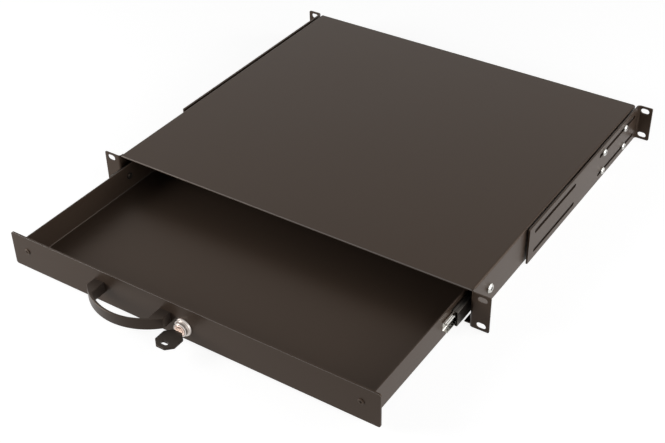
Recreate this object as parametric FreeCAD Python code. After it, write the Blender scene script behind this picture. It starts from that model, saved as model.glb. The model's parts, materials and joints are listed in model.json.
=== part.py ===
"""Sliding rack drawer, one rack unit high, for a 19-inch rack.

A bent sheet case carries a shallow tray on two telescopic ball slides. The
tray has a flat front panel with a bow handle and a cam lock, and the case has
front rack ears and adjustable brackets for the rear rack posts.

Frame: millimetres, X to the right seen from the front, Y towards the back of
the rack, Z up. The origin is the centre of the four front ear slots, on the
ears' rear face, which lies against the rack's posts. The drawer is drawn
partly pulled out.
"""
import FreeCAD, Part
import math
import os

Vector = FreeCAD.Vector

# ---------------------------------------------------------------- rack standard
RACK_PANEL_WIDTH = 482.6        # over the ears
RACK_HOLE_SPACING_X = 465.1     # from the left slots to the right slots
RACK_HOLE_SPACING_Z = 31.75     # from the upper slots to the lower slots
SLOT_LENGTH = 10.3
SLOT_WIDTH = 6.8

# ------------------------------------------------------------------------- case
SHEET = 1.2                     # case and tray sheet
CASE_WIDTH = 441.3
CASE_HEIGHT = 43.6
CASE_DEPTH = 402.4              # from the ears' rear face to the case's back
CASE_FRONT_Y = 0.6              # front edge of the top plate
EAR_HEIGHT = 43.0
EAR_BEND = 2.5                  # inside radius where an ear leaves the side wall
CASE_BEND = 1.2                 # inside radius along the case's long edges
LIP_WIDTH = 8.0                 # bottom lip along each side
HEM_DEPTH = 6.5                 # folded front edge of the top plate
BACK_FLANGE = 10.0              # top plate's bent-down back edge
EAR_CORNER = 1.5
HEM_SIDE_GAP = 4.0
BACK_FLANGE_SIDE_GAP = 1.5

# ----------------------------------------------------------------------- drawer
PANEL_WIDTH = 441.4
PANEL_THICKNESS = 2.0
PANEL_TOP = CASE_HEIGHT / 2
PANEL_BOTTOM = -17.8
PANEL_CORNER = 2.5
PULLED_OUT = 162.9              # how far the drawer stands open
SHUT_GAP = 0.1                  # panel to ears when the drawer is shut
TRAY_DEPTH = 385.0
TRAY_BOTTOM = -17.2
TRAY_TOP = 13.4
TRAY_BEND = 1.0
TRAY_CORNER_GAP = 0.6           # open seam between a side wall and an end wall

# ----------------------------------------------------------------------- slides
SLIDE_THICKNESS = 9.6           # from the tray's wall to the case's wall
RAIL_SHEET = 0.9
RAIL_BEND = 0.6
BALL_RADIUS = 1.3
GROOVE_RADIUS = 1.4             # raceway, a running fit round the balls
GROOVE_DEPTH = 0.25
OUTER_RAIL_HEIGHT = 24.0
OUTER_RAIL_FRONT = 20.0
OUTER_RAIL_LENGTH = 360.0
MIDDLE_RAIL_FRONT = -21.4
MIDDLE_RAIL_LENGTH = 250.0
INNER_RAIL_FRONT = -38.2
INNER_RAIL_LENGTH = 256.0
OUTER_LIP = 1.3                 # edges and webs, measured from the tray's wall
MIDDLE_LIP = 1.6
MIDDLE_WEB = 7.8
INNER_LIP = 5.9
CAGE_SHEET = 0.4
CAGE_BEND = 0.5
CAGE_LIP = 1.8
OUTER_CAGE_WEB = 8.5
INNER_CAGE_WEB = 6.6
CAGE_LENGTH = 84.0
BALLS_PER_ROW = 3
OUTER_CAGE_CENTRE = 110.0
INNER_CAGE_CENTRE = 98.0

# ---------------------------------------------------------------- rear brackets
BRACKET_SHEET = 2.0
BRACKET_STANDOFF = 2.2          # from the case's side to the bracket
BRACKET_FRONT = 115.8
BRACKET_BACK = 406.1            # rear face of the bracket's rack ear
BRACKET_BEND = 2.5
BRACKET_SLOT_WIDTH = 4.6
BRACKET_SLOT_Z = 12.2           # above and below the middle
FRONT_SLOTS = (128.2, 228.4)
REAR_SLOTS = (291.8, 394.6)
BRACKET_SCREW_Y = (304.0, 364.0)

# ------------------------------------------------------------- lock, key, handle
LOCK_X = 1.8
LOCK_Z = -2.6
BARREL_RADIUS = 8.0
BARREL_LENGTH = 14.0            # behind the panel's front face
BARREL_FLAT = 13.6              # across the barrel's two flats
BEZEL_RADIUS = 10.0
BEZEL_STEP_RADIUS = 7.6
BEZEL_HEIGHT = 6.4
BEZEL_STEP_HEIGHT = 2.4
NUT_ACROSS_FLATS = 20.0
LOCK_NUT_HEIGHT = 3.0
PLUG_RADIUS = 5.8
PLUG_CLEARANCE = 0.05
CAM_LENGTH = 20.5               # from the lock's axis to the cam's tip
CAM_WIDTH = 12.0
CAM_SHEET = 2.0
CAM_SQUARE = 6.0
CAM_SCREW_RADIUS = 1.5
CAM_SCREW_LENGTH = 5.0
KEYWAY_WIDTH = 7.2
KEYWAY_HEIGHT = 2.0
KEYWAY_DEPTH = 15.5
KEY_BLADE_WIDTH = 6.8
KEY_BLADE_THICKNESS = 1.8
KEY_BLADE_REACH = 15.2          # from the plug's face to the blade's tip
KEY_CUTS = (1.1, 0.6, 1.2)
KEY_CUT_PITCH = 3.1
KEY_TANG = 9.0                  # the blade's tail inside the bow
KEY_BOW_WIDTH = 23.6
KEY_BOW_LENGTH = 26.4
KEY_BOW_THICKNESS = 2.8
KEY_BOW_START = 1.6             # from the plug's face to the bow
KEY_BOW_CHAMFER = 6.8
KEY_RING_SLOT_Y = 19.8          # from the bow's near edge
KEY_RING_SLOT_LENGTH = 8.6
KEY_RING_SLOT_WIDTH = 4.6

HANDLE_X = -61.5
HANDLE_Z = 2.5
HANDLE_HOLE_SPACING = 88.9
HANDLE_WIDTH = 96.4             # over the feet
HANDLE_REACH = 31.5             # from the panel to the front of the bow
HANDLE_HEIGHT = 12.5
HANDLE_THICKNESS = 2.6
HANDLE_FOOT_WIDTH = 13.0
HANDLE_FOOT_REACH = 17.6        # from the panel to where a foot meets the strap
HANDLE_SHOULDER = 11.0          # from the panel to the bow's outer shoulder
HANDLE_SHOULDER_BEND = 4.0
HANDLE_EDGE = 0.5
HANDLE_HOLE_DEPTH = 7.0

# -------------------------------------------------------------------- fasteners
SCREW_RADIUS = 2.0              # M4 throughout
SCREW_HOLE = 2.05
BRACKET_SCREW_HEAD = (4.2, 2.6)  # radius and height of a head
FRONT_RAIL_SCREW_HEAD = (5.2, 3.0)
LOW_RAIL_SCREW_HEAD = (4.0, 1.6)
INNER_RAIL_SCREW_HEAD = (3.8, 2.2)
PANEL_SCREW_HEAD = (3.4, 1.0)
HANDLE_SCREW_HEAD = (3.6, 2.4)
CAM_SCREW_HEAD = (4.0, 2.4)
NUT_BODY = 3.0                  # pressed nut in the case's wall
NUT_COLLAR = 4.0
RAIL_SCREW_Y = (36.9, 190.0, 350.0)
INNER_RAIL_SCREW_Y = (-1.4, 95.0, 200.0)
PANEL_SCREW_X = 200.8
PANEL_SCREW_Z = 4.2

# ------------------------------------------------------------- strike for the cam
STRIKE_Y = 8.5
STRIKE_DEPTH = 14.0
STRIKE_SHEET = 1.5
STRIKE_WIDTH = 22.0
STRIKE_BOTTOM = 15.4

# --------------------------------------------------------------- worked-out places
half_case = CASE_WIDTH / 2
case_inside = half_case - SHEET
tray_outside = case_inside - SLIDE_THICKNESS
tray_inside = tray_outside - SHEET
ear_front = -SHEET
panel_back = ear_front - SHUT_GAP - PULLED_OUT
panel_front = panel_back - PANEL_THICKNESS
tray_back = panel_back + TRAY_DEPTH
tray_floor = TRAY_BOTTOM + SHEET
wall_back = panel_back + SHEET          # inner face of the tray's front wall
bracket_face = half_case + BRACKET_STANDOFF + BRACKET_SHEET
lock_rear = panel_front + BARREL_LENGTH
plug_face = panel_front - BEZEL_HEIGHT - 0.4
plug_rear = lock_rear + 0.1             # the cam turns just clear of the barrel
race_offset = GROOVE_RADIUS - GROOVE_DEPTH
ball_s = 3.9                            # rows of balls, from the tray's wall
outer_ball_z = OUTER_RAIL_HEIGHT / 2 - RAIL_SHEET - race_offset
middle_top = outer_ball_z - race_offset
inner_ball_z = middle_top - RAIL_SHEET - race_offset
inner_top = inner_ball_z - race_offset


# ---------------------------------------------------------------- shape helpers
def block(x_range, y_range, z_range):
    """A box between two corners."""
    size = [high - low for low, high in (x_range, y_range, z_range)]
    return Part.makeBox(*size, Vector(x_range[0], y_range[0], z_range[0]))


def rod(radius, start, end):
    """A round bar from one point to another."""
    start, end = Vector(*start), Vector(*end)
    return Part.makeCylinder(radius, (end - start).Length, start, end - start)


def mirrored(shape):
    """The same piece on the other side of the drawer."""
    return shape.mirror(Vector(0, 0, 0), Vector(1, 0, 0))


def along_z(face, start, end):
    """Extrude a profile drawn in X and Y upwards."""
    solid = face.extrude(Vector(0, 0, end - start))
    return solid.translated(Vector(0, 0, start))


def along_y(face, start, end):
    """Extrude a profile drawn in X and Z towards the back."""
    solid = face.extrude(Vector(0, 0, end - start))
    solid.rotate(Vector(0, 0, 0), Vector(1, 0, 0), 90)
    return solid.translated(Vector(0, end, 0))


def along_x(face, start, end):
    """Extrude a profile drawn in Y and Z to the right."""
    solid = face.extrude(Vector(0, 0, end - start))
    solid.rotate(Vector(0, 0, 0), Vector(1, 1, 1), 120)
    return solid.translated(Vector(start, 0, 0))


def rounded_path(points, radii):
    """Lines through the points, with an arc of the given radius at each corner."""
    edges = []
    start = points[0]
    for before, corner, after, radius in zip(points, points[1:], points[2:], radii):
        back = (before - corner).normalize()
        ahead = (after - corner).normalize()
        half_angle = back.getAngle(ahead) / 2
        setback = radius / math.tan(half_angle)
        bisector = (back + ahead).normalize()
        first = corner + back * setback
        last = corner + ahead * setback
        middle = corner + bisector * (radius / math.sin(half_angle) - radius)
        if (first - start).Length > 1e-6:
            edges.append(Part.makeLine(start, first))
        edges.append(Part.Arc(first, middle, last).toShape())
        start = last
    edges.append(Part.makeLine(start, points[-1]))
    return edges


def bent_sheet(outline, thickness, bend):
    """Section of a bent sheet, which lies to the left of the line that it follows."""
    points = [Vector(u, v, 0) for u, v in outline]
    ways = [(b - a).normalize() for a, b in zip(points, points[1:])]
    lefts = [Vector(-way.y, way.x, 0) for way in ways]
    other_side = [points[0] + lefts[0] * thickness]
    near_radii, far_radii = [], []
    for corner, left, next_left in zip(points[1:], lefts, lefts[1:]):
        miter = (left + next_left) / (1 + left.dot(next_left))
        other_side.append(corner + miter * thickness)
        turns_left = left.cross(next_left).z > 0
        near_radii.append(bend + thickness if turns_left else bend)
        far_radii.append(bend if turns_left else bend + thickness)
    other_side.append(points[-1] + lefts[-1] * thickness)
    edges = rounded_path(points, near_radii)
    edges.append(Part.makeLine(points[-1], other_side[-1]))
    edges += rounded_path(other_side[::-1], far_radii[::-1])
    edges.append(Part.makeLine(other_side[0], points[0]))
    return Part.Face(Part.Wire(Part.__sortEdges__(edges)))


def polygon(points):
    """A flat face with straight sides."""
    corners = [Vector(u, v, 0) for u, v in points]
    return Part.Face(Part.makePolygon(corners + corners[:1]))


def rounded_plate(u_range, v_range, radius):
    """A flat rectangle with rounded corners."""
    (left, right), (low, high) = u_range, v_range
    middle = (left + right) / 2
    points = [(middle, low), (right, low), (right, high),
              (left, high), (left, low), (middle, low)]
    corners = [Vector(u, v, 0) for u, v in points]
    return Part.Face(Part.Wire(rounded_path(corners, [radius] * 4)))


def slot_face(centre, length, width):
    """An obround hole that runs along the first direction."""
    u, v = centre
    half = length / 2
    radius = width / 2 - 1e-4
    return rounded_plate((u - half, u + half), (v - width / 2, v + width / 2), radius)


def pan_head(head, length, shank_radius, seat, way, recessed=False):
    """A pan-head screw: its seat is the middle of the head's underside, and the
    shank runs the given way from there."""
    radius, height = head
    profile = [(0, length), (shank_radius, length), (shank_radius, 0), (radius, 0),
               (radius, -0.5 * height), (0.75 * radius, -height), (0, -height)]
    corners = [Vector(across, 0, along) for across, along in profile]
    outline = Part.Face(Part.makePolygon(corners + corners[:1]))
    screw = outline.revolve(Vector(0, 0, 0), Vector(0, 0, 1), 360)
    if recessed:
        arm, half_slot = 0.45 * radius, 0.12 * radius
        recess = block((-arm, arm), (-half_slot, half_slot), (-height, -0.45 * height))
        recess = recess.fuse(recess.rotated(Vector(0, 0, 0), Vector(0, 0, 1), 90)).removeSplitter()
        screw = screw.cut(recess).Solids[0]
    turn = FreeCAD.Rotation(Vector(0, 0, 1), Vector(*way))
    screw.Placement = FreeCAD.Placement(Vector(*seat), turn)
    return screw


def group(solids):
    """Several like pieces in one node."""
    return Part.makeCompound(solids)


# ------------------------------------------------------------------------- case
def rack_slots(y_from, y_to):
    """The four slots of a pair of rack ears, as cutting bodies."""
    cutters = []
    for x in (-RACK_HOLE_SPACING_X / 2, RACK_HOLE_SPACING_X / 2):
        for z in (-RACK_HOLE_SPACING_Z / 2, RACK_HOLE_SPACING_Z / 2):
            cutters.append(along_y(slot_face((x, z), SLOT_LENGTH, SLOT_WIDTH), y_from, y_to))
    return group(cutters)


def case_wall_holes():
    """Holes in the right side wall for the rail screws and the pressed nuts."""
    holes = []
    for y in RAIL_SCREW_Y:
        holes.append(rod(SCREW_HOLE, (case_inside - 1, y, 0), (half_case + 1, y, 0)))
    for y in BRACKET_SCREW_Y:
        for z in (-BRACKET_SLOT_Z, BRACKET_SLOT_Z):
            holes.append(rod(NUT_BODY, (case_inside - 1, y, z), (half_case + 1, y, z)))
    return group(holes)


def make_case_shell():
    """Top plate, side walls, bottom lips, rack ears, front hem and back flange."""
    top, bottom = CASE_HEIGHT / 2, -CASE_HEIGHT / 2
    lip_end = half_case - LIP_WIDTH
    section = [(lip_end, bottom), (half_case, bottom), (half_case, top),
               (-half_case, top), (-half_case, bottom), (-lip_end, bottom)]
    shell = along_y(bent_sheet(section, SHEET, CASE_BEND), EAR_BEND, CASE_DEPTH)

    # the top plate runs on to the front edge and is folded under itself
    fold_y = CASE_FRONT_Y + SHEET
    under = top - SHEET
    hem_half = case_inside - HEM_SIDE_GAP
    plate_half = half_case - CASE_BEND
    plate = block((-plate_half, plate_half), (fold_y, EAR_BEND + 1), (under, top))
    edge = rod(SHEET, (-plate_half, fold_y, under), (plate_half, fold_y, under))
    edge = edge.common(block((-plate_half, plate_half), (CASE_FRONT_Y, fold_y), (under, top)))
    hem = block((-hem_half, hem_half), (fold_y, CASE_FRONT_Y + HEM_DEPTH), (under - SHEET, under))
    fold = rod(SHEET, (-hem_half, fold_y, under), (hem_half, fold_y, under))
    shell = shell.fuse([plate, edge, hem, fold])

    # ears bent outwards from the side walls
    ear_half = EAR_HEIGHT / 2
    ear_path = [(RACK_PANEL_WIDTH / 2, 0), (half_case, 0), (half_case, 2 * EAR_BEND)]
    ear = along_z(bent_sheet(ear_path, SHEET, EAR_BEND), -ear_half, ear_half)
    corners = rounded_plate((0, RACK_PANEL_WIDTH / 2), (-ear_half, ear_half), EAR_CORNER)
    ear = ear.common(along_y(corners, ear_front, 2 * EAR_BEND))
    shell = shell.fuse([ear, mirrored(ear)])

    # the back flange hangs from the top plate between the side walls
    flange_half = case_inside - BACK_FLANGE_SIDE_GAP
    back = (CASE_DEPTH - SHEET, CASE_DEPTH)
    shell = shell.fuse(block((-flange_half, flange_half), back, (top - BACK_FLANGE, under)))

    shell = shell.cut(rack_slots(ear_front, SHEET))
    holes = case_wall_holes()
    return shell.cut(holes).cut(mirrored(holes)).removeSplitter()


def make_lock_strike():
    """Angle under the top plate that the lock's cam catches behind."""
    plate_z = CASE_HEIGHT / 2 - SHEET
    path = [(STRIKE_Y + STRIKE_DEPTH, plate_z), (STRIKE_Y, plate_z), (STRIKE_Y, STRIKE_BOTTOM)]
    section = bent_sheet(path, STRIKE_SHEET, 1.0)
    return along_x(section, LOCK_X - STRIKE_WIDTH / 2, LOCK_X + STRIKE_WIDTH / 2)


# ----------------------------------------------------------------------- slides
def raceways():
    """The four grooves that the balls of the right slide run in."""
    grooves = []
    for z in (outer_ball_z, inner_ball_z):
        for level in (-z, z):
            x = tray_outside + ball_s
            start, end = (x, INNER_RAIL_FRONT - 1, level), (x, CASE_DEPTH, level)
            grooves.append(rod(GROOVE_RADIUS, start, end))
    return group(grooves)


def channel(lip, web, height, sheet, bend, front, length):
    """A C-shaped rail of the right slide; lip and web are measured from the tray's wall."""
    lip, web = tray_outside + lip, tray_outside + web
    path = [(lip, -height / 2), (web, -height / 2), (web, height / 2), (lip, height / 2)]
    if web < lip:
        path.reverse()
    return along_y(bent_sheet(path, sheet, bend), front, front + length)


def make_outer_rail():
    """Case member of the right slide."""
    rail = channel(OUTER_LIP, SLIDE_THICKNESS, OUTER_RAIL_HEIGHT, RAIL_SHEET, RAIL_BEND,
                   OUTER_RAIL_FRONT, OUTER_RAIL_LENGTH)
    rail = rail.cut(raceways())
    for y in RAIL_SCREW_Y:
        rail = rail.cut(rod(SCREW_HOLE, (tray_outside + ball_s, y, 0), (half_case, y, 0)))
    return rail


def make_middle_rail():
    """Middle member of the right slide, between the two sets of balls."""
    rail = channel(MIDDLE_LIP, MIDDLE_WEB, 2 * middle_top, RAIL_SHEET, RAIL_BEND,
                   MIDDLE_RAIL_FRONT, MIDDLE_RAIL_LENGTH)
    return rail.cut(raceways())


def make_inner_rail():
    """Tray member of the right slide."""
    rail = channel(INNER_LIP, 0, 2 * inner_top, RAIL_SHEET, RAIL_BEND,
                   INNER_RAIL_FRONT, INNER_RAIL_LENGTH)
    rail = rail.cut(raceways())
    for y in INNER_RAIL_SCREW_Y:
        rail = rail.cut(rod(SCREW_HOLE, (tray_inside, y, 0), (tray_outside + ball_s, y, 0)))
    return rail


def ball_places(centre):
    """Positions of the balls of one row along the slide."""
    pitch = CAGE_LENGTH / BALLS_PER_ROW
    first = centre - pitch * (BALLS_PER_ROW - 1) / 2
    return [first + pitch * number for number in range(BALLS_PER_ROW)]


def make_ball_cage(web, ball_z, centre):
    """Thin strip that keeps the upper and lower balls of the right slide apart."""
    height = 2 * ball_z + CAGE_SHEET
    cage = channel(CAGE_LIP, web, height, CAGE_SHEET, CAGE_BEND, centre - CAGE_LENGTH / 2, CAGE_LENGTH)
    x = tray_outside + ball_s
    pockets = [rod(BALL_RADIUS + 0.05, (x, y, -height), (x, y, height)) for y in ball_places(centre)]
    return cage.cut(group(pockets))


def make_balls(ball_z, centre):
    """Both rows of balls in one cage of the right slide."""
    x = tray_outside + ball_s
    rows = [(x, y, z) for y in ball_places(centre) for z in (-ball_z, ball_z)]
    return group([Part.makeSphere(BALL_RADIUS, Vector(*place)) for place in rows])


# ----------------------------------------------------------- rear rack brackets
def make_rear_bracket():
    """Slotted angle on the case's right side, with an ear for the rear rack post."""
    half = EAR_HEIGHT / 2
    ear_y = BRACKET_BACK - BRACKET_SHEET
    path = [(bracket_face, BRACKET_FRONT), (bracket_face, ear_y), (RACK_PANEL_WIDTH / 2, ear_y)]
    bracket = along_z(bent_sheet(path, BRACKET_SHEET, BRACKET_BEND), -half, half)
    corners = rounded_plate((0, RACK_PANEL_WIDTH / 2), (-half, half), EAR_CORNER)
    bracket = bracket.common(along_y(corners, BRACKET_FRONT, BRACKET_BACK))
    bracket = bracket.cut(rack_slots(ear_y - 1, BRACKET_BACK + 1))
    for front, back in (FRONT_SLOTS, REAR_SLOTS):
        for z in (-BRACKET_SLOT_Z, BRACKET_SLOT_Z):
            slot = slot_face(((front + back) / 2, z), back - front, BRACKET_SLOT_WIDTH)
            bracket = bracket.cut(along_x(slot, half_case, bracket_face + 1))
    return bracket


def bracket_screw_places():
    """Positions of the four bracket screws along and up the case's side."""
    return [(y, z) for y in BRACKET_SCREW_Y for z in (-BRACKET_SLOT_Z, BRACKET_SLOT_Z)]


def make_bracket_nuts():
    """Nuts pressed into the case's wall, whose collars hold the bracket off it."""
    nuts = []
    for y, z in bracket_screw_places():
        body = rod(NUT_BODY, (case_inside, y, z), (half_case, y, z))
        collar = rod(NUT_COLLAR, (half_case, y, z), (half_case + BRACKET_STANDOFF, y, z))
        bore = rod(SCREW_HOLE, (case_inside - 1, y, z), (bracket_face, y, z))
        nuts.append(body.fuse(collar).cut(bore).removeSplitter())
    return group(nuts)


def make_bracket_screws():
    """Pan-head screws through the right bracket's slots."""
    length = bracket_face - case_inside
    seats = [(bracket_face, y, z) for y, z in bracket_screw_places()]
    return group([pan_head(BRACKET_SCREW_HEAD, length, SCREW_RADIUS, seat, (-1, 0, 0), True)
                  for seat in seats])


def make_outer_rail_screws():
    """Screws of the right outer rail: one large head in front, low heads under the bracket."""
    length = half_case - case_inside + RAIL_SHEET
    front, *others = RAIL_SCREW_Y
    screws = [pan_head(FRONT_RAIL_SCREW_HEAD, length, SCREW_RADIUS, (half_case, front, 0), (-1, 0, 0), True)]
    for y in others:
        screws.append(pan_head(LOW_RAIL_SCREW_HEAD, length, SCREW_RADIUS, (half_case, y, 0), (-1, 0, 0)))
    return group(screws)


# ----------------------------------------------------------------------- drawer
def barrel_section(clearance):
    """Round lock barrel with two flats, that stop it turning in its hole."""
    radius = BARREL_RADIUS + clearance
    flat = BARREL_FLAT / 2 + clearance
    circle = Part.Face(Part.Wire(Part.makeCircle(radius, Vector(LOCK_X, LOCK_Z, 0))))
    band = polygon([(LOCK_X - flat, -radius * 2), (LOCK_X + flat, -radius * 2),
                    (LOCK_X + flat, radius * 2), (LOCK_X - flat, radius * 2)])
    return circle.common(band).Faces[0]


def front_holes():
    """Holes for the lock, the handle's screws and the panel's screws."""
    start, end = panel_front - 1, wall_back + 1
    holes = [along_y(barrel_section(0.1), start, end)]
    for side in (-1, 1):
        handle_x = HANDLE_X + side * HANDLE_HOLE_SPACING / 2
        panel_x = side * PANEL_SCREW_X
        holes.append(rod(SCREW_HOLE, (handle_x, start, HANDLE_Z), (handle_x, end, HANDLE_Z)))
        holes.append(rod(SCREW_HOLE, (panel_x, start, PANEL_SCREW_Z), (panel_x, end, PANEL_SCREW_Z)))
    return group(holes)


def make_drawer_tray():
    """Open tray, with its floor and four walls bent from one sheet."""
    section = [(-tray_outside, TRAY_TOP), (-tray_outside, TRAY_BOTTOM),
               (tray_outside, TRAY_BOTTOM), (tray_outside, TRAY_TOP)]
    bend = TRAY_BEND + SHEET
    tray = along_y(bent_sheet(section, SHEET, TRAY_BEND), panel_back + bend, tray_back - bend)
    end_path = [(panel_back, TRAY_TOP), (panel_back, TRAY_BOTTOM),
                (tray_back, TRAY_BOTTOM), (tray_back, TRAY_TOP)]
    end_half = tray_inside - TRAY_CORNER_GAP
    ends = along_x(bent_sheet(end_path, SHEET, TRAY_BEND), -end_half, end_half)
    tray = tray.fuse(ends)
    for wall_x in ((-tray_outside, -tray_inside), (tray_inside, tray_outside)):
        for wall_y in ((panel_back, panel_back + bend), (tray_back - bend, tray_back)):
            tray = tray.fuse(block(wall_x, wall_y, (TRAY_BOTTOM + bend, TRAY_TOP)))
    tray = tray.cut(front_holes())
    for y in INNER_RAIL_SCREW_Y:
        tray = tray.cut(rod(SCREW_HOLE, (tray_inside - 1, y, 0), (tray_outside + 1, y, 0)))
        tray = tray.cut(rod(SCREW_HOLE, (-tray_inside + 1, y, 0), (-tray_outside - 1, y, 0)))
    return tray.removeSplitter()


def make_front_panel():
    """Flat plate that covers the case's opening."""
    half = PANEL_WIDTH / 2
    outline = rounded_plate((-half, half), (PANEL_BOTTOM, PANEL_TOP), PANEL_CORNER)
    return along_y(outline, panel_front, panel_back).cut(front_holes())


def make_panel_screws():
    """Screws that hold the panel to the tray's front wall."""
    length = wall_back - panel_front + 1.5
    seats = [(side * PANEL_SCREW_X, panel_front, PANEL_SCREW_Z) for side in (-1, 1)]
    return group([pan_head(PANEL_SCREW_HEAD, length, SCREW_RADIUS, seat, (0, 1, 0), True)
                  for seat in seats])


def make_handle():
    """Bow handle: an arched strap between two solid feet."""
    def place(x, reach):
        return Vector(HANDLE_X + x, panel_front - reach, 0)

    outer = HANDLE_WIDTH / 2
    inner = outer - HANDLE_FOOT_WIDTH
    front = Part.Arc(place(-outer, HANDLE_SHOULDER), place(0, HANDLE_REACH), place(outer, HANDLE_SHOULDER))
    inner_front = place(0, HANDLE_REACH - HANDLE_THICKNESS)
    back = Part.Arc(place(inner, HANDLE_FOOT_REACH), inner_front, place(-inner, HANDLE_FOOT_REACH))
    edges = [
        Part.makeLine(place(-outer, 0), place(-outer, HANDLE_SHOULDER)),
        front.toShape(),
        Part.makeLine(place(outer, HANDLE_SHOULDER), place(outer, 0)),
        Part.makeLine(place(outer, 0), place(inner, 0)),
        Part.makeLine(place(inner, 0), place(inner, HANDLE_FOOT_REACH)),
        back.toShape(),
        Part.makeLine(place(-inner, HANDLE_FOOT_REACH), place(-inner, 0)),
        Part.makeLine(place(-inner, 0), place(-outer, 0)),
    ]
    low, high = HANDLE_Z - HANDLE_HEIGHT / 2, HANDLE_Z + HANDLE_HEIGHT / 2
    handle = along_z(Part.Face(Part.Wire(edges)), low, high)
    shoulder_y = panel_front - HANDLE_SHOULDER
    shoulders = [edge for edge in handle.Edges
                 if edge.BoundBox.ZLength > 1 and abs(edge.CenterOfMass.y - shoulder_y) < 0.1]
    handle = handle.makeFillet(HANDLE_SHOULDER_BEND, shoulders)
    rims = [edge for edge in handle.Edges
            if edge.BoundBox.ZLength < 0.1 and edge.BoundBox.YMin < panel_front - 0.1]
    handle = handle.makeChamfer(HANDLE_EDGE, rims)
    for side in (-1, 1):
        x = HANDLE_X + side * HANDLE_HOLE_SPACING / 2
        start, end = panel_front - HANDLE_HOLE_DEPTH, panel_front + 1
        handle = handle.cut(rod(SCREW_HOLE, (x, start, HANDLE_Z), (x, end, HANDLE_Z)))
    return handle


def make_handle_screws():
    """Screws through the tray and the panel into the handle's feet."""
    length = wall_back - panel_front + HANDLE_HOLE_DEPTH - 1
    screws = []
    for side in (-1, 1):
        seat = (HANDLE_X + side * HANDLE_HOLE_SPACING / 2, wall_back, HANDLE_Z)
        screws.append(pan_head(HANDLE_SCREW_HEAD, length, SCREW_RADIUS, seat, (0, -1, 0)))
    return group(screws)


def make_inner_rail_screws(side):
    """Screws through one side wall of the tray (1 right, -1 left) into its rail."""
    length = SHEET + RAIL_SHEET
    seats = [(side * tray_inside, y, 0) for y in INNER_RAIL_SCREW_Y]
    return [pan_head(INNER_RAIL_SCREW_HEAD, length, SCREW_RADIUS, seat, (side, 0, 0)) for seat in seats]


# ----------------------------------------------------------------- lock and key
def turned(profile):
    """A body of revolution about the lock's axis; the profile gives radius and Y."""
    corners = [Vector(LOCK_X + radius, y, LOCK_Z) for radius, y in profile]
    face = Part.Face(Part.makePolygon(corners + corners[:1]))
    return face.revolve(Vector(LOCK_X, 0, LOCK_Z), Vector(0, 1, 0), 360)


def lock_rod(radius, start, end):
    """A round bar on the lock's axis."""
    return rod(radius, (LOCK_X, start, LOCK_Z), (LOCK_X, end, LOCK_Z))


def lock_block(width, height, start, end):
    """A bar with a rectangular section on the lock's axis."""
    half_width, half_height = width / 2, height / 2
    return block((LOCK_X - half_width, LOCK_X + half_width), (start, end),
                 (LOCK_Z - half_height, LOCK_Z + half_height))


def make_lock_body():
    """Lock barrel with its stepped front ring."""
    bore = PLUG_RADIUS + PLUG_CLEARANCE
    front = panel_front - BEZEL_HEIGHT
    step = panel_front - BEZEL_STEP_HEIGHT
    ring = turned([
        (bore, panel_front),
        (bore, front + 0.5),
        (bore + 0.5, front),
        (BEZEL_STEP_RADIUS - 0.6, front),
        (BEZEL_STEP_RADIUS, front + 0.6),
        (BEZEL_STEP_RADIUS, step),
        (BEZEL_RADIUS - 0.8, step),
        (BEZEL_RADIUS, panel_front - 0.8),
        (BEZEL_RADIUS, panel_front),
    ])
    barrel = along_y(barrel_section(0), panel_front, lock_rear)
    barrel = barrel.cut(lock_rod(bore, panel_front - 1, lock_rear + 1))
    return ring.fuse(barrel).removeSplitter()


def make_lock_nut():
    """Hexagon nut that clamps the barrel to the tray's front wall."""
    corner = NUT_ACROSS_FLATS / math.sqrt(3)
    turns = [math.radians(60 * number) for number in range(6)]
    corners = [(LOCK_X + corner * math.cos(turn), LOCK_Z + corner * math.sin(turn)) for turn in turns]
    nut = along_y(polygon(corners), wall_back, wall_back + LOCK_NUT_HEIGHT)
    return nut.cut(along_y(barrel_section(0.05), wall_back - 1, wall_back + LOCK_NUT_HEIGHT + 1))


def make_lock_plug():
    """Plug with a keyway in its face and a square tail for the cam."""
    edge = 0.4
    plug = turned([
        (0, plug_face),
        (PLUG_RADIUS - edge, plug_face),
        (PLUG_RADIUS, plug_face + edge),
        (PLUG_RADIUS, plug_rear),
        (0, plug_rear),
    ])
    tail_end = plug_rear + CAM_SHEET
    tail = lock_block(CAM_SQUARE, CAM_SQUARE, plug_rear, tail_end)
    keyway = lock_block(KEYWAY_WIDTH, KEYWAY_HEIGHT, plug_face, plug_face + KEYWAY_DEPTH)
    thread = lock_rod(CAM_SCREW_RADIUS + 0.05, tail_end - CAM_SCREW_LENGTH - 0.5, tail_end)
    return plug.fuse(tail).cut(keyway).cut(thread)


def make_lock_cam():
    """Flat cam on the plug's tail; it points sideways while the drawer is free."""
    half = CAM_WIDTH / 2
    arm = rounded_plate((LOCK_X - half - 1, LOCK_X + CAM_LENGTH), (LOCK_Z - half, LOCK_Z + half), 3.0)
    cam = along_y(arm, plug_rear, plug_rear + CAM_SHEET)
    square = CAM_SQUARE + 0.1
    return cam.cut(lock_block(square, square, plug_rear, plug_rear + CAM_SHEET))


def make_cam_screw():
    """Screw that keeps the cam on the plug."""
    seat = (LOCK_X, plug_rear + CAM_SHEET, LOCK_Z)
    return pan_head(CAM_SCREW_HEAD, CAM_SCREW_LENGTH, CAM_SCREW_RADIUS, seat, (0, -1, 0))


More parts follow.
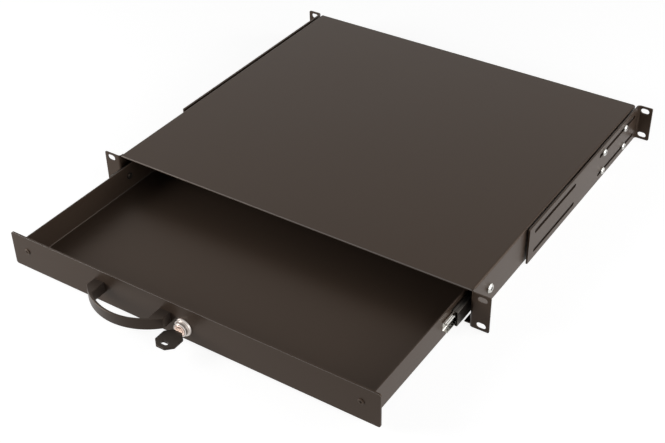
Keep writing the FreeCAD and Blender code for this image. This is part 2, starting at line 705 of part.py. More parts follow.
def make_key_blade():
    """Key blade with its cuts, a shoulder in front of the plug and a tang inside the bow."""
    half = KEY_BLADE_WIDTH / 2
    tip = plug_face + KEY_BLADE_REACH
    outline = [(tip, 0.6), (tip, -half + 1.8), (tip - 1.8, -half)]
    for number, depth in enumerate(KEY_CUTS):
        middle = tip - 4.0 - KEY_CUT_PITCH * number
        outline += [(middle + 0.4 + depth, -half), (middle + 0.4, -half + depth),
                    (middle - 0.4, -half + depth), (middle - 0.4 - depth, -half)]
    shoulder, tang_end = plug_face - 0.3, plug_face - KEY_BOW_START - KEY_TANG
    outline += [(shoulder, -half), (shoulder, -half - 0.9), (tang_end, -half - 0.9),
                (tang_end, half + 0.9), (shoulder, half + 0.9), (shoulder, half), (tip - 2.6, half)]
    corners = [(LOCK_X + across, y) for y, across in outline]
    low = LOCK_Z - KEY_BLADE_THICKNESS / 2
    return along_z(polygon(corners), low, low + KEY_BLADE_THICKNESS)


def make_key_bow(blade):
    """Eight-sided moulded bow with a slot for a key ring."""
    near = plug_face - KEY_BOW_START
    far = near - KEY_BOW_LENGTH
    half = KEY_BOW_WIDTH / 2
    narrow = half - KEY_BOW_CHAMFER
    outline = [(-narrow, near), (-half, near - KEY_BOW_CHAMFER), (-half, far + KEY_BOW_CHAMFER),
               (-narrow, far), (narrow, far), (half, far + KEY_BOW_CHAMFER),
               (half, near - KEY_BOW_CHAMFER), (narrow, near)]
    corners = [(LOCK_X + across, y) for across, y in outline]
    low = LOCK_Z - KEY_BOW_THICKNESS / 2
    bow = along_z(polygon(corners), low, low + KEY_BOW_THICKNESS)
    bow = bow.makeFillet(2.0, [edge for edge in bow.Edges if edge.BoundBox.ZLength > 1])
    bow = bow.makeChamfer(0.5, [edge for edge in bow.Edges if edge.BoundBox.ZLength < 0.1])
    ring_slot = slot_face((LOCK_X, near - KEY_RING_SLOT_Y), KEY_RING_SLOT_LENGTH, KEY_RING_SLOT_WIDTH)
    return bow.cut(along_z(ring_slot, low - 1, low + KEY_BOW_THICKNESS + 1)).cut(blade)


# ------------------------------------------------------------------------ parts
def make_parts():
    """Every sub-part of the drawer by its node name."""
    parts = {
        "case_shell": make_case_shell(),
        "lock_strike": make_lock_strike(),
        "drawer_tray": make_drawer_tray(),
        "front_panel": make_front_panel(),
        "panel_screws": make_panel_screws(),
        "handle": make_handle(),
        "handle_screws": make_handle_screws(),
        "inner_rail_screws": group(make_inner_rail_screws(-1) + make_inner_rail_screws(1)),
        "lock_body": make_lock_body(),
        "lock_nut": make_lock_nut(),
        "lock_plug": make_lock_plug(),
        "lock_cam": make_lock_cam(),
        "cam_screw": make_cam_screw(),
        "key_blade": make_key_blade(),
    }
    parts["key_bow"] = make_key_bow(parts["key_blade"])
    right_pieces = {
        "outer_rail": make_outer_rail(),
        "middle_rail": make_middle_rail(),
        "inner_rail": make_inner_rail(),
        "outer_ball_cage": make_ball_cage(OUTER_CAGE_WEB, outer_ball_z, OUTER_CAGE_CENTRE),
        "inner_ball_cage": make_ball_cage(INNER_CAGE_WEB, inner_ball_z, INNER_CAGE_CENTRE),
        "outer_balls": make_balls(outer_ball_z, OUTER_CAGE_CENTRE),
        "inner_balls": make_balls(inner_ball_z, INNER_CAGE_CENTRE),
        "outer_rail_screws": make_outer_rail_screws(),
        "rear_bracket": make_rear_bracket(),
        "bracket_nuts": make_bracket_nuts(),
        "bracket_screws": make_bracket_screws(),
    }
    for name, shape in right_pieces.items():
        parts["right_" + name] = shape
        parts["left_" + name] = mirrored(shape)
    return parts


os.makedirs("parts", exist_ok=True)
for node, shape in make_parts().items():
    if not shape.isValid():
        raise ValueError(node + " is not a valid shape")
    shape.exportStep("parts/" + node + ".step")
    print(node, len(shape.Solids), "solid(s)", round(shape.Volume), "cubic mm")
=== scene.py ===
import json
import math

import bmesh
import bpy
from bpy.props import FloatProperty, FloatVectorProperty, PointerProperty
from mathutils import Euler, Matrix, Vector


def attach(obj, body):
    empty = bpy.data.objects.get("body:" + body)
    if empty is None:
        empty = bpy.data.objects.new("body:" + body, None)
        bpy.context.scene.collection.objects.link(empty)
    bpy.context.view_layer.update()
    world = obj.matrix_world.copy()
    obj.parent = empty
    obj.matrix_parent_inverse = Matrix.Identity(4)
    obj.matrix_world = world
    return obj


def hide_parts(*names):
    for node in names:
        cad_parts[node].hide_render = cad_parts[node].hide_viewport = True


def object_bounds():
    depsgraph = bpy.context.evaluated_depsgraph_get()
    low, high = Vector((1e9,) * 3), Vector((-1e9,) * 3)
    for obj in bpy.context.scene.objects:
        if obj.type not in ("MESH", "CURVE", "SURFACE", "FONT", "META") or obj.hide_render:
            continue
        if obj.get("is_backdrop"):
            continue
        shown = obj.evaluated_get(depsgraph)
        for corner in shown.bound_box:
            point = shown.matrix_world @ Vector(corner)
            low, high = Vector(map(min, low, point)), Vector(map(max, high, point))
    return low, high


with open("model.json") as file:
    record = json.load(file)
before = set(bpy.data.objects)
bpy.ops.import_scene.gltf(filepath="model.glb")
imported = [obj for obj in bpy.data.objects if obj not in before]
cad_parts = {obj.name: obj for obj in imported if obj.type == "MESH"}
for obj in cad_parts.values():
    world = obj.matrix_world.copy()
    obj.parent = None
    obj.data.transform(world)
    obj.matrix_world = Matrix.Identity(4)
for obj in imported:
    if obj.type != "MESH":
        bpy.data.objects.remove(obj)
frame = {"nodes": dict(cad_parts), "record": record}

bl_info = {
    "name": "Sliding Rack Drawer",
    "version": (1, 0, 0),
    "blender": (4, 5, 0),
    "location": "3D View > Sidebar > Rack Drawer",
    "description": "Coat, metal and plastic finishes and a studio for a sliding rack drawer",
    "category": "Object",
}

SIDES = ("right", "left")

# How much paler or darker than the setting's colour a part is
# The panel screws' paler tone is a painted highlight on their heads, which have the panel's coat
PANEL_SCREW_HIGHLIGHT = 1.3
INNER_RAIL_TONE = 1.45
BALL_CAGE_TONE = 0.6

# Easing of edges
WELD_DISTANCE = 1e-6            # metres; joins the corners of neighbouring triangles
FLAT_ANGLE = math.radians(0.5)  # faces nearer to one plane than this become one face
SHARP_ANGLE = math.radians(35)  # edges sharper than this are eased
EASING_STEPS = 2

# Studio
CAMERA_SENSOR_WIDTH = 36.0      # millimetres
CAMERA_SHIFT = (-0.01417, 0.00732)  # shares of the picture's width
FLOOR_GREY = 0.3
FLOOR_GLOW = 0.88               # white of the floor where no lamp reaches
FLOOR_DROP = 0.0001             # metres; keeps the floor clear of the lowest faces
FLOOR_SIDES = 96
LAMPS = (
    # name, place from the middle of the object, width, setting of its power
    ("right_lamp", (1.4, 0.1, 0.6), 1.5, "right_power"),
    ("rear_lamp", (1.4, 0.85, 0.25), 0.9, "rear_power"),
    ("left_lamp", (-1.0, -0.82, 0.38), 0.7, "left_power"),
    ("front_lamp", (1.6, -0.5, 0.35), 0.8, "front_power"),
)


# ------------------------------------------------------------------ settings
class CoatSettings(bpy.types.PropertyGroup):
    """Satin powder coat on the sheet metal."""
    colour: FloatVectorProperty(
        name="Colour", description="Colour of the powder coat",
        subtype="COLOR", size=3, min=0, max=1, default=(0.051, 0.035, 0.0255))
    handle_colour: FloatVectorProperty(
        name="Handle colour", description="Colour of the paint on the bow handle",
        subtype="COLOR", size=3, min=0, max=1, default=(0.046, 0.036, 0.030))
    roughness: FloatProperty(
        name="Roughness", description="How matt the coat is", subtype="FACTOR",
        min=0, max=1, default=0.38)
    grain_size: FloatProperty(
        name="Grain size", description="Width of one ripple in the coat", unit="LENGTH",
        min=1e-4, default=0.0011)
    sheen_tint: FloatVectorProperty(
        name="Sheen tint", description="Tint that the brown coat gives to what it mirrors",
        subtype="COLOR", size=3, min=0, max=1, default=(1.0, 0.73, 0.54))
    edge_radius: FloatProperty(
        name="Edge radius", description="Rounding that the coat gives a cut edge",
        unit="LENGTH", min=0, default=0.00035)
    panel_edge_radius: FloatProperty(
        name="Panel edge radius", description="Rounding of the thick front panel's edges",
        unit="LENGTH", min=0, default=0.0007)
    # Painted highlight along the tray's upward side bends
    side_bend_highlight: FloatProperty(
        name="Side bend highlight",
        description="Strength of the painted highlight along the tray's side bends",
        min=0, max=1, default=0.05)
    # Painted highlight along the top plate's front fold
    hem_highlight: FloatProperty(
        name="Hem highlight",
        description="Strength of the painted highlight along the top plate's front fold",
        min=0, max=1, default=0.15)
    # Painted highlight along the front panel's upper edges
    cut_edge_highlight: FloatProperty(
        name="Cut edge highlight",
        description="Strength of the painted highlight along the panel's top edge",
        min=0, max=1, default=0.45)


class HardwareSettings(bpy.types.PropertyGroup):
    """Bare and plated metal, and the key's plastic."""
    zinc_colour: FloatVectorProperty(
        name="Zinc colour", description="Colour of the zinc plating on slides and screws",
        subtype="COLOR", size=3, min=0, max=1, default=(0.56, 0.55, 0.52))
    # The outer and middle rails are coloured dark, far darker than the inner rail
    rail_colour: FloatVectorProperty(
        name="Dark rail colour", description="Dark colour of the outer and middle rails",
        subtype="COLOR", size=3, min=0, max=1, default=(0.075, 0.068, 0.060))
    nickel_colour: FloatVectorProperty(
        name="Nickel colour", description="Colour of the lock's plated ring",
        subtype="COLOR", size=3, min=0, max=1, default=(0.60, 0.55, 0.515))
    brass_colour: FloatVectorProperty(
        name="Brass colour", description="Colour of the lock's plug",
        subtype="COLOR", size=3, min=0, max=1, default=(0.96, 0.76, 0.66))
    black_screw_colour: FloatVectorProperty(
        name="Black screw colour", description="Colour of the blackened screws in the tray's walls",
        subtype="COLOR", size=3, min=0, max=1, default=(0.02, 0.018, 0.016))
    plastic_colour: FloatVectorProperty(
        name="Plastic colour", description="Colour of the key's moulded bow",
        subtype="COLOR", size=3, min=0, max=1, default=(0.032, 0.0275, 0.024))
    ring_edge_radius: FloatProperty(
        name="Ring edge radius", description="Rounding of the lock ring's edges", unit="LENGTH",
        min=0, default=0.0004)
    bow_edge_radius: FloatProperty(
        name="Bow edge radius", description="Rounding of the key bow's edges", unit="LENGTH",
        min=0, default=0.0003)


class StudioSettings(bpy.types.PropertyGroup):
    """Camera, lamps and floor."""
    camera_place: FloatVectorProperty(
        name="Camera place", description="Where the camera stands",
        subtype="TRANSLATION", unit="LENGTH", size=3, default=(0.6103, -0.8113, 0.7595))
    camera_azimuth: FloatProperty(
        name="Azimuth", description="Turn of the camera about the upright", unit="ROTATION",
        default=math.radians(33.503))
    camera_elevation: FloatProperty(
        name="Elevation", description="How far the camera looks down", unit="ROTATION",
        default=math.radians(36.489))
    camera_roll: FloatProperty(
        name="Roll", description="Turn of the camera about its own line of sight", unit="ROTATION",
        default=math.radians(-0.819))
    camera_lens: FloatProperty(
        name="Lens", description="Focal length of the camera",
        subtype="DISTANCE_CAMERA", default=66.017)
    world_strength: FloatProperty(
        name="Surroundings", description="Strength of the even light from all round",
        min=0, default=0.05)
    right_power: FloatProperty(
        name="Right lamp", description="Power of the soft lamp beside the right side wall",
        subtype="POWER", min=0, default=9.3)
    rear_power: FloatProperty(
        name="Rear lamp", description="Power of the low lamp behind the right rear bracket",
        subtype="POWER", min=0, default=9.5)
    left_power: FloatProperty(
        name="Left lamp", description="Power of the soft lamp in front of the left corner",
        subtype="POWER", min=0, default=12.5)
    front_power: FloatProperty(
        name="Front lamp",
        description="Power of the low lamp that fills the right ear and the slide",
        subtype="POWER", min=0, default=4.4)
    floor_size: FloatProperty(
        name="Floor size", description="Radius of the pale floor",
        unit="LENGTH", min=1, default=12.0)


# -------------------------------------------------------------- node helpers
def effect_group(name, inputs):
    """A node group with its inputs and the three outputs that every finish uses.

    Gives the tree and its two end nodes.
    """
    group = bpy.data.node_groups.new(name, "ShaderNodeTree")
    for label, kind, value in inputs:
        socket = group.interface.new_socket(label, in_out="INPUT", socket_type=kind)
        socket.default_value = value
    for label, kind in (("Color", "NodeSocketColor"), ("Roughness", "NodeSocketFloat"),
                        ("Height", "NodeSocketFloat")):
        group.interface.new_socket(label, in_out="OUTPUT", socket_type=kind)
    return group, group.nodes.new("NodeGroupInput"), group.nodes.new("NodeGroupOutput")


def feed(tree, socket, value):
    """Set a socket to a number, or link another socket to it."""
    if isinstance(value, (int, float)):
        socket.default_value = value
    else:
        tree.links.new(value, socket)


def math_node(tree, operation, *operands):
    """A Math node; each operand is a number or a socket."""
    node = tree.nodes.new("ShaderNodeMath")
    node.operation = operation
    for socket, value in zip(node.inputs, operands):
        feed(tree, socket, value)
    return node.outputs[0]


def noise_node(tree, place, scale, detail):
    """A Noise Texture at a place; the scale is a number or a socket."""
    node = tree.nodes.new("ShaderNodeTexNoise")
    tree.links.new(place, node.inputs["Vector"])
    feed(tree, node.inputs["Scale"], scale)
    feed(tree, node.inputs["Detail"], detail)
    return node.outputs["Fac"]


def spread(tree, mask, middle, amount):
    """Turn a mask from 0 to 1 into a number that varies by the amount round the middle."""
    swing = math_node(tree, "MULTIPLY", math_node(tree, "SUBTRACT", mask, 0.5), amount)
    return math_node(tree, "ADD", swing, middle)


def shaded(tree, colour, factor):
    """Multiply a colour by a number."""
    node = tree.nodes.new("ShaderNodeVectorMath")
    node.operation = "SCALE"
    tree.links.new(colour, node.inputs[0])
    tree.links.new(factor, node.inputs["Scale"])
    return node.outputs[0]


def painted_highlight_masks(tree):
    """Masks for a painted highlight on the bends from up to sideways, and on those from up to
    forwards; 1 at 45 degrees.
    """
    parts = tree.nodes.new("ShaderNodeSeparateXYZ")
    tree.links.new(tree.nodes.new("ShaderNodeTexCoord").outputs["Normal"], parts.inputs[0])
    upwards = math_node(tree, "MAXIMUM", parts.outputs[2], 0.0)
    sideways = math_node(tree, "ABSOLUTE", parts.outputs[0])
    forwards = math_node(tree, "MAXIMUM", math_node(tree, "MULTIPLY", parts.outputs[1], -1.0), 0.0)
    return [math_node(tree, "MULTIPLY", math_node(tree, "MINIMUM", upwards, outwards), math.sqrt(2))
            for outwards in (sideways, forwards)]


def object_place(tree):
    """Position on the object, in metres."""
    return tree.nodes.new("ShaderNodeTexCoord").outputs["Object"]


# ------------------------------------------------------------ shared effects
def powder_coat_group():
    """Orange-peel ripple, faint cloudiness and uneven gloss of a sprayed coat, with a painted
    highlight on its upward bends.
    """
    cloud_scale, cloud_detail = 9.0, 4.0
    ripple_detail, ripple_tone = 2.0, 0.12
    gloss_swing = 0.07
    tree, start, end = effect_group("powder_coat", [
        ("Coat Colour", "NodeSocketColor", (0.03, 0.023, 0.019, 1)),
        ("Grain Size", "NodeSocketFloat", 0.001),
        ("Cloudiness", "NodeSocketFloat", 0.12),
        ("Roughness", "NodeSocketFloat", 0.4),
        ("Side Edge Light", "NodeSocketFloat", 0.0),
        ("Front Edge Light", "NodeSocketFloat", 0.0),
    ])
    place = object_place(tree)
    grains = math_node(tree, "DIVIDE", 1.0, start.outputs["Grain Size"])
    ripple = noise_node(tree, place, grains, ripple_detail)
    cloud = noise_node(tree, place, cloud_scale, cloud_detail)
    tone = spread(tree, cloud, 1.0, start.outputs["Cloudiness"])
    tone = math_node(tree, "ADD", tone, spread(tree, ripple, 0.0, ripple_tone))
    # Painted highlight: the coat is made paler on bends that face up and sideways or forwards
    side_highlight_mask, front_highlight_mask = painted_highlight_masks(tree)
    side_highlight_mask = math_node(tree, "MULTIPLY", side_highlight_mask, start.outputs["Side Edge Light"])
    front_highlight_mask = math_node(tree, "MULTIPLY", front_highlight_mask, start.outputs["Front Edge Light"])
    # Adds the painted highlight to the rippled, clouded coat colour
    paler = tree.nodes.new("ShaderNodeVectorMath")
    tree.links.new(shaded(tree, start.outputs["Coat Colour"], tone), paler.inputs[0])
    tree.links.new(math_node(tree, "ADD", side_highlight_mask, front_highlight_mask), paler.inputs[1])
    tree.links.new(paler.outputs[0], end.inputs["Color"])
    gloss = spread(tree, cloud, 0.0, gloss_swing)
    gloss = math_node(tree, "ADD", start.outputs["Roughness"], gloss)
    tree.links.new(gloss, end.inputs["Roughness"])
    tree.links.new(ripple, end.inputs["Height"])
    return tree


def plated_metal_group():
    """Drawn streaks and dull spots of plated or rolled metal."""
    streak_detail, streak_tone, streak_gloss = 3.0, 0.22, 0.10
    spot_scale, spot_detail, spot_tone, spot_gloss = 260.0, 3.0, 0.14, 0.12
    tree, start, end = effect_group("plated_metal", [
        ("Metal Colour", "NodeSocketColor", (0.6, 0.6, 0.6, 1)),
        ("Streak Width", "NodeSocketFloat", 0.0004),
        ("Streak Length", "NodeSocketFloat", 0.02),
        ("Roughness", "NodeSocketFloat", 0.3),
    ])
    place = object_place(tree)
    across = math_node(tree, "DIVIDE", 1.0, start.outputs["Streak Width"])
    along = math_node(tree, "DIVIDE", 1.0, start.outputs["Streak Length"])
    scale = tree.nodes.new("ShaderNodeCombineXYZ")
    for socket, value in zip(scale.inputs, (across, along, across)):
        tree.links.new(value, socket)
    stretched = tree.nodes.new("ShaderNodeVectorMath")
    stretched.operation = "MULTIPLY"
    tree.links.new(place, stretched.inputs[0])
    tree.links.new(scale.outputs[0], stretched.inputs[1])
    streaks = noise_node(tree, stretched.outputs[0], 1.0, streak_detail)
    spots = noise_node(tree, place, spot_scale, spot_detail)
    tone = math_node(tree, "ADD", spread(tree, streaks, 1.0, streak_tone),
                     spread(tree, spots, 0.0, spot_tone))
    tree.links.new(shaded(tree, start.outputs["Metal Colour"], tone), end.inputs["Color"])
    gloss = math_node(tree, "ADD", spread(tree, spots, 0.0, spot_gloss),
                      spread(tree, streaks, 0.0, streak_gloss))
    gloss = math_node(tree, "ADD", gloss, start.outputs["Roughness"])
    tree.links.new(gloss, end.inputs["Roughness"])
    tree.links.new(streaks, end.inputs["Height"])
    return tree


def shared_group(name, maker):
    """The shared effect of that name, made the first time that it is asked for."""
    return bpy.data.node_groups.get(name) or maker()


# ----------------------------------------------------------------- materials
def finish_material(name, effect, values, constants, bump_strength, bump_height):
    """A material whose colour, roughness and bump come from one shared effect.

    The name must differ from those of the materials that come with the CAD nodes.
    """
    material = bpy.data.materials.get(name)
    if material:
        return material
    material = bpy.data.materials.new(name)
    material.use_nodes = True
    tree = material.node_tree
    shader = tree.nodes["Principled BSDF"]
    for label, value in constants.items():
        shader.inputs[label].default_value = value
    group = tree.nodes.new("ShaderNodeGroup")
    group.node_tree = effect
    for label, value in values.items():
        group.inputs[label].default_value = value
    relief = tree.nodes.new("ShaderNodeBump")
    relief.inputs["Strength"].default_value = bump_strength
    relief.inputs["Distance"].default_value = bump_height
    tree.links.new(group.outputs["Color"], shader.inputs["Base Color"])
    tree.links.new(group.outputs["Roughness"], shader.inputs["Roughness"])
    tree.links.new(group.outputs["Height"], relief.inputs["Height"])
    tree.links.new(relief.outputs["Normal"], shader.inputs["Normal"])
    return material


# The last two arguments set the strength of the painted highlight on the coat's upward bends
def powder_coat(name, colour, cloudiness=0.12, side_bend_highlight=0.0, front_highlight=0.0):
    """Satin powder coat or paint of one colour."""
    coat = bpy.context.scene.rack_drawer_coat
    return finish_material(
        name, shared_group("powder_coat", powder_coat_group),
        {"Coat Colour": (*colour, 1), "Grain Size": coat.grain_size,
         "Cloudiness": cloudiness, "Roughness": coat.roughness,
         "Side Edge Light": side_bend_highlight, "Front Edge Light": front_highlight},
        {"Metallic": 0.0, "IOR": 1.35, "Specular Tint": (*coat.sheen_tint, 1)},
        bump_strength=0.25, bump_height=0.0001)


def plated_metal(name, colour, roughness, streak_width, streak_length, bump_strength=0.1):
    """Plated, rolled or turned bare metal."""
    return finish_material(
        name, shared_group("plated_metal", plated_metal_group),
        {"Metal Colour": (*colour, 1), "Streak Width": streak_width,
         "Streak Length": streak_length, "Roughness": roughness},
        {"Metallic": 1.0}, bump_strength=bump_strength, bump_height=0.00005)


def toned(colour, factor):
    """A colour made paler or darker."""
    return [factor * value for value in colour]


def dress(node, material):
    """Give a CAD node its finish."""
    for slot in frame["nodes"][node].material_slots:
        slot.material = material


def record_body(node):
    """The body that a CAD node belongs to."""
    bodies = frame["record"]["behaviour"]["bodies"]
    return next(body for body, nodes in bodies.items() if node in nodes)


def ease_edges(node, material, radius):
    """Put a copy of a CAD node with rounded edges in its place."""
    shape = bmesh.new()
    shape.from_mesh(frame["nodes"][node].data)
    bmesh.ops.remove_doubles(shape, verts=shape.verts, dist=WELD_DISTANCE)
    bmesh.ops.dissolve_limit(shape, angle_limit=FLAT_ANGLE, verts=shape.verts, edges=shape.edges)
    for face in shape.faces:
        face.smooth = True
        face.material_index = 0
    mesh = bpy.data.meshes.new(node + "_eased")
    shape.to_mesh(mesh)
    shape.free()
    for label in ("custom_normal", "sharp_face", "sharp_edge"):
        if label in mesh.attributes:
            mesh.attributes.remove(mesh.attributes[label])
    mesh.materials.append(material)
    piece = bpy.data.objects.new(node + "_eased", mesh)
    bpy.context.scene.collection.objects.link(piece)
    bevel = piece.modifiers.new("eased_edges", "BEVEL")
    bevel.width = radius
    bevel.segments = EASING_STEPS
    bevel.limit_method = "ANGLE"
    bevel.angle_limit = SHARP_ANGLE
    bevel.harden_normals = True
    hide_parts(node)
    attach(piece, record_body(node))


# ---------------------------------------------------------------- operators
class RACKDRAWER_OT_case(bpy.types.Operator):
    """Finish the case shell and the strike under its top plate"""
    bl_idname = "rack_drawer.case"
    bl_label = "Case"

    def execute(self, context):
        coat = context.scene.rack_drawer_coat
        hardware = context.scene.rack_drawer_hardware
        zinc = plated_metal("strike_zinc", hardware.zinc_colour,
                            roughness=0.34, streak_width=0.0005, streak_length=0.01)
        # The case coat carries a painted highlight on the front fold of the top plate
        dress("case_shell", powder_coat("case_coat", coat.colour, front_highlight=coat.hem_highlight))
        dress("lock_strike", zinc)
        return {"FINISHED"}


class RACKDRAWER_OT_tray(bpy.types.Operator):
    """Finish the drawer's tray"""
    bl_idname = "rack_drawer.tray"
    bl_label = "Tray"

    def execute(self, context):
        coat = context.scene.rack_drawer_coat
        # The tray coat carries a painted highlight on its side bends
        dress("drawer_tray", powder_coat("tray_coat", coat.colour, side_bend_highlight=coat.side_bend_highlight))
        return {"FINISHED"}


class RACKDRAWER_OT_front_panel(bpy.types.Operator):
    """Finish the front panel and its screws"""
    bl_idname = "rack_drawer.front_panel"
    bl_label = "Front panel"

    def execute(self, context):
        coat = context.scene.rack_drawer_coat
        # The panel coat carries a painted highlight on its upper edges
        material = powder_coat("panel_coat", coat.colour, front_highlight=coat.cut_edge_highlight)
        ease_edges("front_panel", material, coat.panel_edge_radius)
        # Paler copy of the panel coat: painted highlight on the screw heads
        paler = toned(coat.colour, PANEL_SCREW_HIGHLIGHT)
        dress("panel_screws", powder_coat("screw_coat", paler, cloudiness=0.2))
        return {"FINISHED"}


class RACKDRAWER_OT_handle(bpy.types.Operator):
    """Finish the bow handle"""
    bl_idname = "rack_drawer.handle"
    bl_label = "Bow handle"

    def execute(self, context):
        coat = context.scene.rack_drawer_coat
        ease_edges("handle", powder_coat("bow_coat", coat.handle_colour), coat.edge_radius)
        return {"FINISHED"}


class RACKDRAWER_OT_slides(bpy.types.Operator):
    """Finish the rails, ball cages and balls of both slides"""
    bl_idname = "rack_drawer.slides"
    bl_label = "Slides"

    def execute(self, context):
        hardware = context.scene.rack_drawer_hardware
        zinc = hardware.zinc_colour
        bright = plated_metal("rolled_zinc", toned(zinc, INNER_RAIL_TONE),
                              roughness=0.24, streak_width=0.0004, streak_length=0.05)
        # Outer and middle rails get a dark colour
        dark = plated_metal("blackened_rail", hardware.rail_colour,
                            roughness=0.36, streak_width=0.0004, streak_length=0.05)
        cage = plated_metal("pressed_cage", toned(zinc, BALL_CAGE_TONE),
                            roughness=0.4, streak_width=0.0006, streak_length=0.004)
        ball = plated_metal("bearing_steel", zinc, roughness=0.1,
                            streak_width=0.002, streak_length=0.002, bump_strength=0.02)
        finishes = {"outer_rail": dark, "middle_rail": dark, "inner_rail": bright,
                    "outer_ball_cage": cage, "inner_ball_cage": cage,
                    "outer_balls": ball, "inner_balls": ball}
        for side in SIDES:
            for piece, material in finishes.items():
                dress(f"{side}_{piece}", material)
        return {"FINISHED"}


class RACKDRAWER_OT_brackets(bpy.types.Operator):
    """Finish the rear rack brackets"""
    bl_idname = "rack_drawer.brackets"
    bl_label = "Rear brackets"

    def execute(self, context):
        coat = context.scene.rack_drawer_coat
        material = powder_coat("bracket_coat", coat.colour)
        for side in SIDES:
            ease_edges(f"{side}_rear_bracket", material, coat.edge_radius)
        return {"FINISHED"}


class RACKDRAWER_OT_screws(bpy.types.Operator):
    """Finish the zinc and black screws and the pressed nuts"""
    bl_idname = "rack_drawer.screws"
    bl_label = "Screws and nuts"

    def execute(self, context):
        hardware = context.scene.rack_drawer_hardware
        zinc = plated_metal("screw_zinc", hardware.zinc_colour,
                            roughness=0.24, streak_width=0.0006, streak_length=0.0006)
        black = powder_coat("black_oxide", hardware.black_screw_colour, cloudiness=0.2)
        dress("inner_rail_screws", black)
        nodes = ["handle_screws"]
        for side in SIDES:
            nodes += [f"{side}_outer_rail_screws", f"{side}_bracket_nuts", f"{side}_bracket_screws"]
        for node in nodes:
            dress(node, zinc)
        return {"FINISHED"}


class RACKDRAWER_OT_lock(bpy.types.Operator):
    """Finish the cam lock"""
    bl_idname = "rack_drawer.lock"
    bl_label = "Cam lock"

    def execute(self, context):
        hardware = context.scene.rack_drawer_hardware
        nickel = plated_metal("ring_nickel", hardware.nickel_colour,
                              roughness=0.38, streak_width=0.0015, streak_length=0.0015)
        brass = plated_metal("turned_brass", hardware.brass_colour,
                             roughness=0.4, streak_width=0.0008, streak_length=0.0008)
        zinc = plated_metal("cam_zinc", hardware.zinc_colour,
                            roughness=0.32, streak_width=0.0005, streak_length=0.0005)
        ease_edges("lock_body", nickel, hardware.ring_edge_radius)
        dress("lock_nut", nickel)
        dress("lock_plug", brass)
        dress("lock_cam", zinc)
        dress("cam_screw", zinc)
        return {"FINISHED"}


class RACKDRAWER_OT_key(bpy.types.Operator):
    """Finish the key"""
    bl_idname = "rack_drawer.key"
    bl_label = "Key"

    def execute(self, context):
        hardware = context.scene.rack_drawer_hardware
        steel = plated_metal("key_steel", hardware.nickel_colour,
                             roughness=0.22, streak_width=0.0004, streak_length=0.004)
        plastic = powder_coat("key_moulding", hardware.plastic_colour, cloudiness=0.1)
        dress("key_blade", steel)
        ease_edges("key_bow", plastic, hardware.bow_edge_radius)
        return {"FINISHED"}


# -------------------------------------------------------------------- studio
def seen_ray(tree):
    """1 for rays from the camera, a mirror or glass, and 0 for the rays that light the object."""
    path = tree.nodes.new("ShaderNodeLightPath")
    total = math_node(tree, "ADD", path.outputs["Is Camera Ray"], path.outputs["Is Glossy Ray"])
    total = math_node(tree, "ADD", total, path.outputs["Is Transmission Ray"])
    return math_node(tree, "MINIMUM", total, 1.0)


def make_world(strength):
    """Even white surroundings; a seen ray finds plain white."""
    world = bpy.data.worlds.new("studio")
    world.use_nodes = True
    tree = world.node_tree
    background = tree.nodes["Background"]
    background.inputs["Color"].default_value = (1, 1, 1, 1)
    seen = seen_ray(tree)
    unseen = math_node(tree, "SUBTRACT", 1.0, seen)
    level = math_node(tree, "ADD", math_node(tree, "MULTIPLY", unseen, strength), seen)
    tree.links.new(level, background.inputs["Strength"])
    return world


def make_floor(radius, height):
    """A pale round floor that keeps the object's shadow."""
    mesh = bpy.data.meshes.new("studio_floor")
    shape = bmesh.new()
    bmesh.ops.create_circle(shape, cap_ends=True, segments=FLOOR_SIDES, radius=radius)
    shape.to_mesh(mesh)
    shape.free()
    floor = bpy.data.objects.new("studio_floor", mesh)
    floor.location.z = height - FLOOR_DROP
    bpy.context.scene.collection.objects.link(floor)
    material = bpy.data.materials.new("floor_paper")
    material.use_nodes = True
    tree = material.node_tree
    tree.nodes.remove(tree.nodes["Principled BSDF"])
    paper = tree.nodes.new("ShaderNodeBsdfDiffuse")
    paper.inputs["Color"].default_value = (FLOOR_GREY, FLOOR_GREY, FLOOR_GREY, 1)
    glow = tree.nodes.new("ShaderNodeEmission")
    level = math_node(tree, "MULTIPLY", seen_ray(tree), FLOOR_GLOW)
    tree.links.new(level, glow.inputs["Strength"])
    both = tree.nodes.new("ShaderNodeAddShader")
    tree.links.new(paper.outputs[0], both.inputs[0])
    tree.links.new(glow.outputs[0], both.inputs[1])
    tree.links.new(both.outputs[0], tree.nodes["Material Output"].inputs["Surface"])
    mesh.materials.append(material)
    floor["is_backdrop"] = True


def add_lamp(name, place, target, size, power):
    """A square soft lamp that faces the target."""
    data = bpy.data.lights.new(name, "AREA")
    data.size = size
    data.energy = power
    lamp = bpy.data.objects.new(name, data)
    lamp.location = place
    lamp.rotation_euler = (target - place).to_track_quat("-Z", "Y").to_euler()
    bpy.context.scene.collection.objects.link(lamp)


class RACKDRAWER_OT_studio(bpy.types.Operator):
    """Set up the floor, the lamps and the camera"""
    bl_idname = "rack_drawer.studio"
    bl_label = "Studio"

    def execute(self, context):
        scene = context.scene
        studio = scene.rack_drawer_studio
        scene.world = make_world(studio.world_strength)
        low, high = (Vector(corner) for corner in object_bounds())
        make_floor(studio.floor_size, low.z)
        middle = (low + high) / 2
        for name, offset, width, power in LAMPS:
            add_lamp(name, middle + Vector(offset), middle, width, getattr(studio, power))

        data = bpy.data.cameras.new("camera")
        data.sensor_width = CAMERA_SENSOR_WIDTH
        data.lens = studio.camera_lens
        data.shift_x, data.shift_y = CAMERA_SHIFT
        camera = bpy.data.objects.new("camera", data)
        look = Euler((math.pi / 2 - studio.camera_elevation, 0, studio.camera_azimuth)).to_matrix()
        camera.rotation_euler = (look @ Matrix.Rotation(studio.camera_roll, 3, "Z")).to_euler()
        camera.location = studio.camera_place
        scene.collection.objects.link(camera)
        scene.camera = camera
        scene.view_settings.view_transform = "Standard"
        return {"FINISHED"}


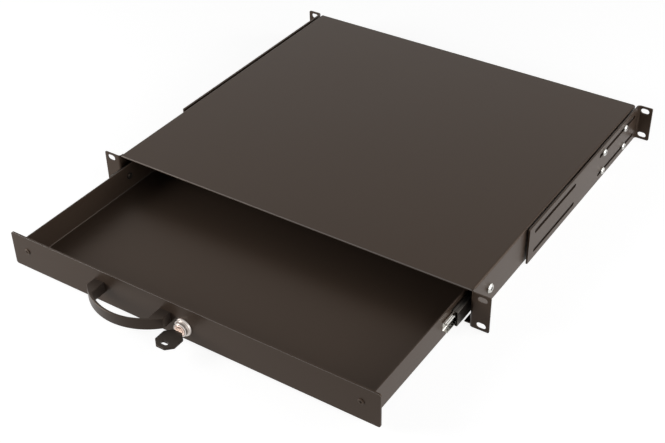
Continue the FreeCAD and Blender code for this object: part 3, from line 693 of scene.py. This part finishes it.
# --------------------------------------------------------------------- panel
class RACKDRAWER_PT_sidebar(bpy.types.Panel):
    """Lists the pieces of the drawer and the settings of their finishes"""
    bl_label = "Rack Drawer"
    bl_idname = "RACKDRAWER_PT_sidebar"
    bl_space_type = "VIEW_3D"
    bl_region_type = "UI"
    bl_category = "Rack Drawer"

    def draw(self, context):
        scene = context.scene
        for settings in (scene.rack_drawer_coat, scene.rack_drawer_hardware,
                         scene.rack_drawer_studio):
            box = self.layout.box()
            for label in settings.__annotations__:
                box.prop(settings, label)
        for operator in OPERATORS:
            self.layout.operator(operator.bl_idname)


SETTINGS = (CoatSettings, HardwareSettings, StudioSettings)
OPERATORS = (
    RACKDRAWER_OT_case, RACKDRAWER_OT_tray, RACKDRAWER_OT_front_panel, RACKDRAWER_OT_handle,
    RACKDRAWER_OT_slides, RACKDRAWER_OT_brackets, RACKDRAWER_OT_screws, RACKDRAWER_OT_lock,
    RACKDRAWER_OT_key, RACKDRAWER_OT_studio,
)


def register():
    for item in SETTINGS + OPERATORS + (RACKDRAWER_PT_sidebar,):
        bpy.utils.register_class(item)
    bpy.types.Scene.rack_drawer_coat = PointerProperty(type=CoatSettings)
    bpy.types.Scene.rack_drawer_hardware = PointerProperty(type=HardwareSettings)
    bpy.types.Scene.rack_drawer_studio = PointerProperty(type=StudioSettings)


def unregister():
    del bpy.types.Scene.rack_drawer_studio
    del bpy.types.Scene.rack_drawer_hardware
    del bpy.types.Scene.rack_drawer_coat
    for item in reversed(SETTINGS + OPERATORS + (RACKDRAWER_PT_sidebar,)):
        bpy.utils.unregister_class(item)


def main():
    """Build everything: register the add-on, finish every part and set up the studio."""
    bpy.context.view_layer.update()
    register()
    bpy.ops.rack_drawer.case()
    bpy.ops.rack_drawer.tray()
    bpy.ops.rack_drawer.front_panel()
    bpy.ops.rack_drawer.handle()
    bpy.ops.rack_drawer.slides()
    bpy.ops.rack_drawer.brackets()
    bpy.ops.rack_drawer.screws()
    bpy.ops.rack_drawer.lock()
    bpy.ops.rack_drawer.key()
    bpy.ops.rack_drawer.studio()


if __name__ == "__main__":
    main()
